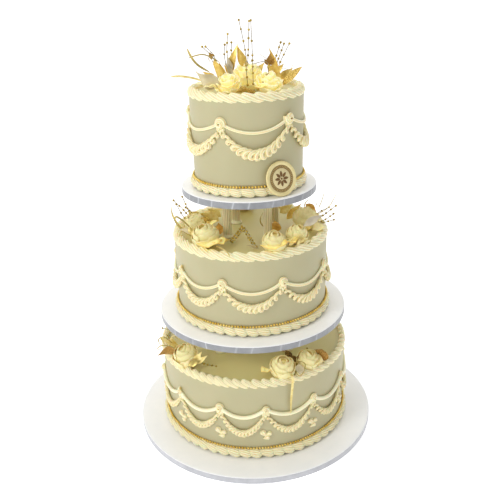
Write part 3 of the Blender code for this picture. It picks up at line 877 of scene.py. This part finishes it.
def add_ribbon(mesh, points, width):
    """A flat ribbon along given points, narrower at its ends, that rolls as it goes."""
    path = smooth_path(points, 8 * len(points))
    tangent = unit(np.gradient(path, axis=0))
    up = np.broadcast_to([0.0, -0.5, 1.0], path.shape)
    side = unit(np.cross(tangent, up))
    face = np.cross(side, tangent)
    share = np.linspace(0, 1, len(path))[:, None]
    roll = np.radians(RIBBON_ROLL[0] + (RIBBON_ROLL[1] - RIBBON_ROLL[0]) * share)
    across = side * np.cos(roll) + face * np.sin(roll)
    half = width / 2 * (1 - (1 - RIBBON_END) * np.clip((np.abs(2 * share - 1) - 0.55) / 0.45, 0, 1) ** 2)
    grid = path[:, None] + across[:, None] * (half * np.linspace(-1, 1, 3)[None])[..., None]
    mesh.slab(grid, RIBBON_THICKNESS)


def add_wire(wires, beads, points, marks):
    """A fine wire along given points, with a bead at each share of its length in marks."""
    path = smooth_path(points, 6 * len(points))
    side = np.broadcast_to([0.3, 1.0, 0.2], path.shape)
    rope(wires, path, WIRE_RADIUS, side, 5)
    for mark in marks:
        spot = path[min(int(mark * (len(path) - 1) + 0.5), len(path) - 1)]
        beads.ball(spot, WIRE_BEAD_RADIUS * RNG.uniform(0.9, 1.05))


def above(tier, points):
    """Points given in millimetres above the middle of a tier's top, as the cake's own."""
    return MM * np.array(points) + (0, 0, tier.top)


# The tables from here to EXTRA_PETALS are in millimetres. Slots of finishes that aren't gold_leaf:
SLOTS = {"silver": "champagne_leaf", "champagne": "champagne_leaf", "bronze": "bronze_leaf",
         "amber": "bronze_leaf", "dark": "bronze_leaf"}
# Each CAD leaf by its node: the run from stem to tip about the middle of its box, then its look.
LeafLook = namedtuple("LeafLook", "node run width roll finish widest bow point shift", defaults=[(0, 0, 0)])
LEAF_LOOKS = (
    LeafLook("leaf_top_front_left", (-38, 4, 18), 23, 80, "champagne", 0.44, 8, 2, (6, 0, -4)),
    LeafLook("leaf_top_left", (-11, 4, 36), 12, 80, "gold", 0.6, 0, 0.6),
    LeafLook("leaf_top_back_left", (16, -2, 44), 13, 80, "gold", 0.25, 0, 1.3, (2, 0, 0)),
    LeafLook("leaf_top_back_right", (-8, 6, 42), 13, 80, "gold", 0.4, 0, 1.5),
    LeafLook("leaf_top_right", (29, -4, 26), 11, 70, "glitter", 0.5, 0, 1.1),
    LeafLook("leaf_middle_left", (-24, -2, 11), 11, 50, "champagne", 0.4, 0, 1.6),
    LeafLook("leaf_middle_right", (30, 6, 16), 12, 60, "silver", 0.4, 0, 1.4),
    LeafLook("leaf_middle_inner", (1, 0, 18), 19, 84, "amber", 0.5, 0, 0.9),
    LeafLook("leaf_bottom_left", (-31, -2, -5), 18, 75, "bronze", 0.35, -2, 1.4, (2, -12, -4)),
    LeafLook("leaf_bottom_right", (6, -1, 24), 28, 86, "bronze", 0.7, 0, 0.7, (2, -3, 0)),
)


def add_leaves():
    for look in LEAF_LOOKS:
        low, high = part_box(look.node)
        run = MM * Vector(look.run)
        stem = (low + high - run) / 2 + MM * Vector(look.shift)
        mesh = Mesh()
        add_leaf(mesh, stem, stem + run, MM * look.width, look.roll, widest=look.widest, waves=0.08,
                 bow=MM * look.bow, point=look.point)
        slot = SLOTS.get(look.finish, "gold_leaf")
        mesh.piece(f"{look.node}_shaped", look.finish, slot, look.node, sharp=40)


# Beaded wires above a tier's top: listed points and the shares of the length that hold a bead.
STRAND_MARKS = (0.0, 0.17, 0.34, 0.5, 0.67, 0.84, 1.0)
WIRES = {
    ("spray_top_centre", "top"): (
        (((3, 22, 25), (-1, 22, 60), (-8, 21, 96)), (0.42, 0.6, 0.8, 1)),
        (((3, 22, 25), (5, 22, 60), (7, 21, 94)), (0.3, 0.44, 0.62, 0.82, 1)),
        (((11, 22, 25), (10.5, 22, 55), (9.5, 22, 95)), (0.36, 0.64, 1)),
        (((4, 10, 35), (1, -22, 42), (1, -37, 31), (2, -40, 11)), (0.5, 0.66, 0.82, 1)),
        (((8, 10, 37), (10, -20, 43), (10, -38, 31), (10, -42, 13)), (0.34, 0.55, 0.75, 1)),
        (((12, 8, 35), (30, -30, 41), (30, -56, 25), (16, -66, 9)), (0.46, 0.64, 0.82, 1)),
    ),
    ("spray_top_left", "top"): (
        (((-22, 18, 19), (-27, 20, 50), (-25, 20, 77)), (0.55, 0.78, 1)),
        (((-20, 18, 19), (-21, 20, 45), (-20, 20, 65)), (0.72, 1)),
        (((-26, 16, 19), (-31, 18, 45), (-30, 20, 62)), (0.6, 1)),
        (((-34, 6, 19), (-46, 8, 43), (-63, 10, 61)), (0.45, 0.62, 1)),
        (((-36, 6, 19), (-46, 8, 47), (-58, 10, 61)), (0.55, 1)),
        (((-36, 4, 17), (-48, 6, 39), (-52, 8, 51)), (0.7, 1)),
    ),
    ("spray_top_right", "top"): (
        (((40, 18, 19), (46, 20, 43), (53, 20, 63)), (0.5, 0.85, 1)),
        (((42, 18, 19), (50, 20, 41), (58, 20, 61)), (0.46, 0.74, 1)),
        (((44, 16, 17), (54, 18, 39), (66, 20, 61)), (0.4, 0.66, 1)),
    ),
    ("spray_middle_left", "middle"): (
        (((-90, 6, 6), (-104, 8, 28), (-122, 10, 48)), (0.3, 0.45, 0.6, 0.78, 1)),
        (((-92, 8, 6), (-100, 10, 32), (-108, 12, 53)), (0.36, 0.5, 0.72, 1)),
        (((-94, 4, 6), (-108, 6, 22), (-118, 8, 42)), (0.4, 0.62, 1)),
        (((-88, 12, 6), (-94, 14, 24), (-104, 14, 34)), (0.4, 0.7, 1)),
    ),
    ("spray_middle_right", "middle"): (
        (((96, -6, 8), (116, -2, 18), (138, 0, 34)), (0.34, 0.5, 0.66, 0.84, 1)),
        (((98, -8, 8), (118, -6, 12), (134, -4, 22)), (0.4, 0.6, 0.8, 1)),
        (((98, -10, 8), (118, -10, 10), (134, -10, 14)), (0.45, 0.7, 1)),
        (((94, -4, 8), (108, 0, 22), (127, 2, 31)), (0.4, 0.7, 1)),
    ),
    ("spray_bottom_left", "bottom"): (
        (((-128, 6, 4), (-140, 4, 18), (-153, 2, 26)), (0.5, 0.75, 1)),
        (((-126, 8, 4), (-136, 10, 20), (-147, 10, 27)), (0.5, 0.8, 1)),
        (((-130, 4, 4), (-144, 0, 12), (-156, -4, 18)), (0.5, 1)),
    ),
    ("strands_middle", "middle"): (
        (((-31, -60, 3), (-22, -60, 14), (-13, -60, 26)), STRAND_MARKS),
        (((-28, -62, 2), (-19, -62, 12), (-11, -62, 24)), STRAND_MARKS),
        (((-13, -60, 24), (-4, -72, 13), (4, -85, 3)), STRAND_MARKS),
        (((-9, -60, 23), (0, -72, 12), (8, -85, 2)), STRAND_MARKS),
    ),
    ("twig_bottom", "bottom"): (
        (((-104, -108, 10), (-88, -106, 11), (-73, -110, 9), (-60, -116, 10)), STRAND_MARKS),
        (((66, -108, 14), (74, -104, 20), (84, -98, 26)), STRAND_MARKS),
    ),
}


def add_sprays(tiers):
    for (name, tier_name), routes in WIRES.items():
        wires, beads = Mesh(), Mesh()
        for points, marks in routes:
            add_wire(wires, beads, above(tiers[tier_name], points), marks)
        nodes = [name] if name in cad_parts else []
        wires.piece(f"{name}_wires", "wire", "gold_wire", *nodes)
        beads.piece(f"{name}_beads", "spray_bead", "gold_wire")


# Loose trim above each tier's top: leaves (stem, tip, width, roll) and ribbons (points, width).
EXTRA_LEAVES = {
    ("top", "gold"): (
        ((0, 6, 26), (-11.8, 8, 62), 13, 95),
        ((-32, -16, 14), (-38, -16, 41), 11, 88),
        ((40, -5, 20), (32, -5, 37), 9, 85),
        ((48, -10, 12), (41, -10, 30), 13, 90),
        ((42, -10, 22), (56, -10, 36), 8, 85),
        ((10, 60, 6), (30, 66, 30), 13, 60),
        ((-14, 60, 6), (-34, 64, 28), 13, 110),
        ((-46, 34, 6), (-66, 38, 22), 14, 60),
        ((52, 30, 6), (72, 34, 24), 14, 60),
    ),
    ("top", "silver"): (
        ((-24, 0, 22), (-26.5, 2, 48), 12, 90),
        ((-19, -4, 18), (-31, 0, 38), 8, 80),
    ),
    ("top", "glitter"): (
        ((2, -74, 11), (-15, -78, 7), 10, 60),
        ((0, -74, 11), (16, -78, 4), 10, 118),
    ),
    ("top", "bronze"): (
        ((34, 12, 30), (37, 12, 49), 9, 90),
        ((36, 12, 32), (46, 12, 43), 6, 90),
        ((34, 12, 32), (28, 12, 41), 6, 90),
        ((-54, 6, 46), (-46, 6, 51), 6, 85),
    ),
    ("middle", "pale_gold"): (
        ((-50, 6, 12), (-83, 6, 26), 18, 75),
        ((-48, 30, 10), (-70, 30, 25), 15, 75),
        ((-78, 30, 8), (-104, 30, 22), 14, 60),
        ((49, 15, 20), (70, 15, 34), 14, 80),
        ((0, 100, 10), (22, 104, 22), 13, 60),
        ((-24, 98, 10), (-46, 94, 22), 13, 110),
    ),
    ("middle", "gold"): (
        ((60, 16, 8), (84, 16, 34), 13, 70),
        ((-48, -78, 10), (-32, -80, 13), 9, 60),
        ((-48, -80, 12), (-42, -94, 12), 8, 30),
        ((74, -46, 6), (86, -46, 16), 8, 80),
        ((83, -44, 10), (97, -42, 19), 7, 70),
        ((76, -50, 6), (90, -52, 10), 7, 60),
    ),
    ("middle", "amber"): (
        ((-48, -25, 1), (-50, -25, 20), 15, 90),
        ((91, 10, 35), (108, 10, 21), 14, 90),
    ),
    ("middle", "glitter"): (
        ((-64, -12, 21), (-88, -12, 18), 11, 80),
        ((-70, -12, 20), (-58, -14, 8), 6, 80),
    ),
    ("middle", "champagne"): (
        ((10, -95, 2), (-7, -95, 9), 8, 50),
    ),
    ("bottom", "pale_gold"): (
        ((-96, -108, 12), (-82, -108, 32), 11, 85),
        ((-92, -110, 12), (-73, -110, 26), 8, 70),
    ),
    ("bottom", "antique"): (
        ((-104, -114, 12), (-84, -112, 18), 10, 60),
        ((60, -122, 10), (72, -130, 13), 10, 40),
    ),
    ("bottom", "bronze"): (
        ((48, 146, 10), (66, 148, 16), 18, 40),
    ),
    ("bottom", "dark"): (
        ((49, -108, 30), (61, -108, 12), 11, 85),
        ((55, -110, 20), (71, -110, 10), 10, 75),
        ((62, -112, 8), (70, -112, 24), 7, 85),
    ),
    ("bottom", "champagne"): (
        ((68, -150, 13), (69, -128, 18), 14, 12),
        ((18, 132, 10), (0, 138, 16), 16, 20),
    ),
}
EXTRA_RIBBONS = {
    ("top", "antique"): (
        (((-52, -20, 28), (-68, -20, 38), (-77, -20, 49), (-83, -20, 62)), 3.2),
        (((-38, 0, 39), (-45, 0, 44), (-55, 0, 49), (-64, 0, 51), (-75, 0, 49), (-84, 0, 46)), 1.8),
        (((-49, 5, 53), (-42, 5, 53), (-35, 5, 49), (-32, 5, 42)), 1.4),
        (((-54, 0, 46), (-52, 0, 40), (-45, 0, 34)), 1.2),
        (((11, 10, 49), (21, 10, 48), (32, 10, 41)), 1.4),
        (((50, -10, 28), (56, -10, 29), (63, -10, 27)), 1.2),
    ),
    ("top", "pale_gold"): (
        (((-60, -40, 18), (-75, -40, 23), (-92, -40, 26), (-107, -40, 26)), 3),
    ),
    ("top", "gold"): (
        (((43.5, -44, 18), (46, -44, 12), (50, -44, 9), (58, -42, 22), (67, -42, 38)), 5.6),
    ),
    ("middle", "antique"): (
        (((-85, -50, 6), (-101, -50, 16), (-111, -50, 29), (-118, -50, 44), (-119, -50, 58)), 2.8),
        (((-86, -50, 14), (-96, -50, 27), (-106, -50, 37), (-113, -50, 41), (-115, -50, 34),
         (-108, -50, 21), (-94, -50, 10)), 2.6),
        (((87, 5, 31), (91, 5, 41), (100, 5, 45), (107, 5, 39), (108, 5, 33)), 2.4),
        (((101, -5, 20), (115, -5, 26), (126, -5, 34), (134, -5, 48), (140, -5, 60)), 3),
        (((110, -5, 33), (115, -5, 46), (118, -5, 58)), 1.4),
        (((30, -30, 3), (16, -32, 22), (22, -34, 40), (34, -32, 40), (38, -30, 20), (34, -30, 4)), 2),
        (((86.5, -78, 13), (89, -86, 11), (87, -94, 10), (82, -100, 10)), 1.8),
    ),
    ("middle", "pale_gold"): (
        (((-51, -99, 11), (-41, -113, 11.5), (-34, -123.5, 10), (-30, -128, 3)), 4.2),
        (((-84, -62, 12), (-93, -62, 22), (-90, -62, 30), (-84, -62, 20)), 4),
        (((-80, -66, 12), (-88, -66, 18), (-85, -66, 26), (-79, -66, 18)), 3.6),
        (((50, -92, 10), (55, -96, 18), (62, -98, 13), (56, -100, 9)), 5),
        (((60, -90, 12), (66, -94, 20), (73, -94, 14), (68, -98, 9)), 5),
        (((66, -84, 12), (74, -86, 20), (80, -86, 14), (75, -90, 9)), 4.5),
    ),
    ("bottom", "pale_gold"): (
        (((52, -132, 9.5), (54.5, -148, 13), (56.4, -153.5, 11), (57.1, -152.5, -1), (55, -150.5, -33.5),
         (54.6, -150, -62.7)), 4.8),
        (((-126, -58, 10), (-140, -60, 22), (-150, -60, 30), (-146, -60, 18)), 5),
        (((-124, -60, 14), (-134, -62, 30), (-128, -62, 36), (-124, -60, 26)), 5),
    ),
    ("bottom", "antique"): (
        (((-128, -56, 12), (-146, -58, 31), (-156, -58, 26), (-150, -58, 14), (-132, -58, 10)), 1.6),
        (((-126, -56, 14), (-142, -58, 36), (-134, -58, 40), (-124, -58, 26)), 1.6),
        (((-126, -60, 10), (-148, -62, 18), (-158, -62, 12), (-146, -64, 9), (-130, -62, 10)), 1.6),
        (((61, -138, 12), (60, -128, 17), (69, -124, 19), (78, -128, 17), (75, -142, 13), (68, -152, 11),
         (61, -138, 12)), 1.8),
    ),
}
# Pale loose petals that lie under the front roses: stem, tip, width.
EXTRA_PETALS = {
    ("top", "petal"): (
        ((-44, -30, 9), (-72, -32, 13), 26),
        ((-40, -52, 9), (-60, -56, 12), 22),
        ((46, -40, 9), (62, -20, 12), 24),
        ((30, -58, 9), (42, -72, 13), 22),
        ((-8, 62, 10), (12, 72, 12), 24),
    ),
    ("top", "edged_petal"): (
        ((-24, -56, 8), (-25, -78, 13), 28),
        ((18, -60, 8), (22, -77, 12), 20),
    ),
    ("middle", "edged_petal"): (
        ((-62, -80, 8), (-62, -110, 13), 36),
        ((-56, -74, 9), (-40, -98, 13), 22),
        ((33, -96, 8), (35, -125, 13), 40),
        ((54, -84, 8), (66, -100, 13), 22),
        ((-66, -20, 8), (-52, -20, 22), 16),
    ),
    ("middle", "petal_warm"): (
        ((96, -42, 9), (117, -36, 13), 26),
        ((-98, -35, 12), (-118, -36, 21), 20),
        ((96, 10, 11), (112, 22, 14), 22),
        ((-20, 100, 10), (-28, 114, 12), 22),
    ),
    ("bottom", "edged_petal"): (
        ((-118, -98, 10), (-126, -100, 14), 24),
        ((26, -132, 9), (10, -141, 13), 20),
        ((40, -134, 9), (40, -152, 13), 26),
    ),
    ("bottom", "petal_warm"): (
        ((90, -112, 10), (108, -116, 13), 24),
        ((-126, -54, 10), (-148, -56, 22), 16),
        ((50, 138, 10), (64, 144, 12), 22),
    ),
}


def add_trim(tiers):
    """Loose leaves, ribbons and petals tucked among the roses."""
    for (tier_name, finish), leaves in EXTRA_LEAVES.items():
        mesh = Mesh()
        for stem, tip, width, roll in leaves:
            stem, tip = above(tiers[tier_name], (stem, tip))
            add_leaf(mesh, stem, tip, MM * width, roll, arch=0.0015, waves=0.10, widest=0.38, point=1.5)
        mesh.piece(f"{finish}_leaves_{tier_name}", finish, SLOTS.get(finish, "gold_leaf"), sharp=40)
    for (tier_name, finish), ribbons in EXTRA_RIBBONS.items():
        mesh = Mesh()
        for points, width in ribbons:
            add_ribbon(mesh, above(tiers[tier_name], points), MM * width)
        mesh.piece(f"{finish}_ribbons_{tier_name}", finish, "gold_leaf", sharp=50)
    for (tier_name, finish), petals in EXTRA_PETALS.items():
        mesh = Mesh()
        for stem, tip, width in petals:
            stem, tip = above(tiers[tier_name], (stem, tip))
            edge = 0.7 if finish == "edged_petal" else 0.0
            add_leaf(mesh, stem, tip, MM * width, 8, arch=0.002, crease=0.22, waves=0.14, widest=0.62,
                     edge=edge)
        mesh.piece(f"{finish}_loose_{tier_name}", finish, "petal")


# ---- Plaque ----
def add_plaque():
    """The round sugar plaque: a pale scalloped rim, a ring of dots and a plain eight-petal rosette."""
    low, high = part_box("plaque")
    centre = np.array((low + high) / 2)
    upright = Matrix.Rotation(radians(90 - PLAQUE_LEAN), 3, "X")
    turn = np.array(Matrix.Rotation(radians(PLAQUE_AZIMUTH), 3, "Z") @ upright)

    def place(grid):
        return centre + np.asarray(grid) @ turn.T

    half = PLAQUE_THICKNESS / 2
    body = Mesh()
    steps = 144
    azimuth = circle(steps, 360)[None]
    scallop = 0.0004 * np.abs(np.sin(np.radians(azimuth) * 18))
    rows = ((0.0250, -half), (PLAQUE_RADIUS, -half + 0.0006), (PLAQUE_RADIUS, half - 0.0012),
            (0.0252, half - 0.0002), (0.0236, half), (0.0204, half - 0.0002), (0.0198, half - 0.0009),
            (0.0100, half - 0.0009), (0.0004, half - 0.0009))
    radius = np.array([r for r, _ in rows])[:, None]
    trimmed = np.where(radius > 0.0251, radius - scallop, radius + 0 * scallop)
    depth = np.array([d for _, d in rows])[:, None] + 0 * azimuth
    body.tube(place(ring_point(trimmed, azimuth, depth)))
    body.piece("plaque_body", "plaque", "plaque", "plaque", sharp=50)
    add_plaque_print(place, half - 0.0009)


def add_plaque_print(place, face):
    """Low relief on the plaque's face: the field, two thin rings, dots and the rosette."""
    field = Mesh()
    rows = ((0.0150, -0.0002), (0.0150, 0.00015), (0.0148, 0.00025), (0.0004, 0.00025))
    field.tube(place(turned(rows, 96) + (0, 0, face)))
    field.piece("plaque_field", "plaque_field", "plaque", sharp=50)
    band = Mesh()
    rows = ((0.0154, -0.0002), (0.0154, 0.00010), (0.0194, 0.00010), (0.0194, -0.0002))
    band.tube(place(turned(rows, 96) + (0, 0, face)).transpose(1, 0, 2), closed=True)
    band.piece("plaque_ring", "plaque_ring", "plaque", sharp=50)
    print_ = Mesh()
    turns = circle(96, 360)
    section = circle(6)
    for ring_radius, width in ((0.0193, 0.0004), (0.0156, 0.0004)):
        grid = ring_point(ring_radius + width * np.cos(section)[None], turns[:, None],
                          face + 0.0002 + 0.0002 * np.sin(section)[None])
        print_.tube(place(grid), closed=True)
    for i in range(40):
        spot = ring_point(0.0174, 360 * i / 40, face + 0.0001)
        print_.add(place(BALL_POINTS * [0.0009, 0.0009, 0.0004] + spot), BALL_FACES)
    for i in range(8):
        b = np.linspace(0.0025, 0.0115, 9)[:, None]
        half = 0.0021 * np.sin(pi * (b - 0.0025) / 0.009) ** 0.8 + 0.00005
        angle = 45 * i + np.degrees(half * np.linspace(-1, 1, 5)[None] / b)
        print_.slab(place(ring_point(b, angle, face + 0.0004 + 0 * angle)), 0.0003)
    print_.add(place(BALL_POINTS * [0.0017, 0.0017, 0.0006] + ring_point(0, 0, face + 0.0002)), BALL_FACES)
    print_.piece("plaque_print", "plaque_print", "plaque")


# ---- Camera, light and floor ----
CAMERA_AT = (-0.0016, -0.9837, 0.7126)
CAMERA_PITCH, CAMERA_ROLL = 22.517, -1.72  # degrees: below the horizon, and clockwise
CAMERA_LENS, CAMERA_SENSOR = 46.63, 36.0
FLOOR_GLOW = 0.50  # the white surround of the studio
SKY_STRENGTH = 0.47
WHITE = (1.0, 1.0, 1.0, 1.0)


def add_camera():
    data = bpy.data.cameras.new("camera")
    data.lens, data.sensor_width = CAMERA_LENS, CAMERA_SENSOR
    camera = add_object("camera", data)
    turn = Matrix.Rotation(radians(90 - CAMERA_PITCH), 4, "X") @ Matrix.Rotation(radians(CAMERA_ROLL), 4, "Z")
    camera.matrix_world = Matrix.Translation(CAMERA_AT) @ turn
    bpy.context.scene.camera = camera


def add_light(name, place, size, power):
    data = bpy.data.lights.new(name, "AREA")
    data.shape, data.size, data.energy = "DISK", size, power
    light = add_object(name, data)
    light.location = place
    aim = Vector((0, 0, 0.3)) - Vector(place)
    light.rotation_mode = "QUATERNION"
    light.rotation_quaternion = aim.to_track_quat("-Z", "Y")


def add_studio():
    """A pale floor that curves up behind the cake, and soft light from the front left and above."""
    bend = np.linspace(0, pi / 2, 12)
    profile = [(-6.0, 0.0)] + [(2.6 + np.sin(t), 1 - np.cos(t)) for t in bend] + [(3.6, 3.0)]
    points = [(x, y, z) for y, z in profile for x in (-7.0, 7.0)]
    faces = [(2 * i, 2 * i + 1, 2 * i + 3, 2 * i + 2) for i in range(len(profile) - 1)]
    data = bpy.data.meshes.new("floor")
    data.from_pydata(points, [], faces)
    data.shade_smooth()
    floor = add_object("floor", data)
    floor.location.z = -0.0004
    s = Shader("floor_paper", Roughness=0.9, Specular_IOR_Level=0.1,
               Emission_Strength=FLOOR_GLOW, Emission_Color=WHITE)
    s.colour(s.ramp(s.noise(3, 2), (0.3, (250, 250, 250)), (0.7, (252, 252, 252))))
    data.materials.append(s.material)
    add_light("key", (-1.5, -1.6, 1.6), 0.8, 21)
    add_light("overhead", (0.0, 0.1, 2.3), 1.4, 13)
    world = bpy.data.worlds.new("studio")
    world.use_nodes = True
    background = world.node_tree.nodes["Background"]
    background.inputs["Color"].default_value = WHITE
    background.inputs["Strength"].default_value = SKY_STRENGTH
    bpy.context.scene.world = world
    bpy.context.scene.view_settings.view_transform = "Standard"


# ---- Everything ----
def main():
    tiers = {name: Tier(name) for name in STYLES}
    add_camera()
    add_studio()
    for tier in tiers.values():
        add_board(tier)
        add_cake(tier)
        add_base_border(tier)
        add_top_border(tier)
        add_bead_trim(tier)
        add_strings(tier)
        add_garlands(tier)
    add_trios(tiers["bottom"])
    for node in sorted(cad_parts):
        if node.startswith("pillar_"):
            add_pillar(node)
        if node.startswith("rose_"):
            on_top = "_top_" in node
            if on_top:
                add_rose(node, "petal", OPEN_ROSE, 0.9)
            else:
                add_rose(node, "petal_warm", CLOSED_ROSE, 0.1)
    add_leaves()
    add_sprays(tiers)
    add_trim(tiers)
    add_plaque()


main()
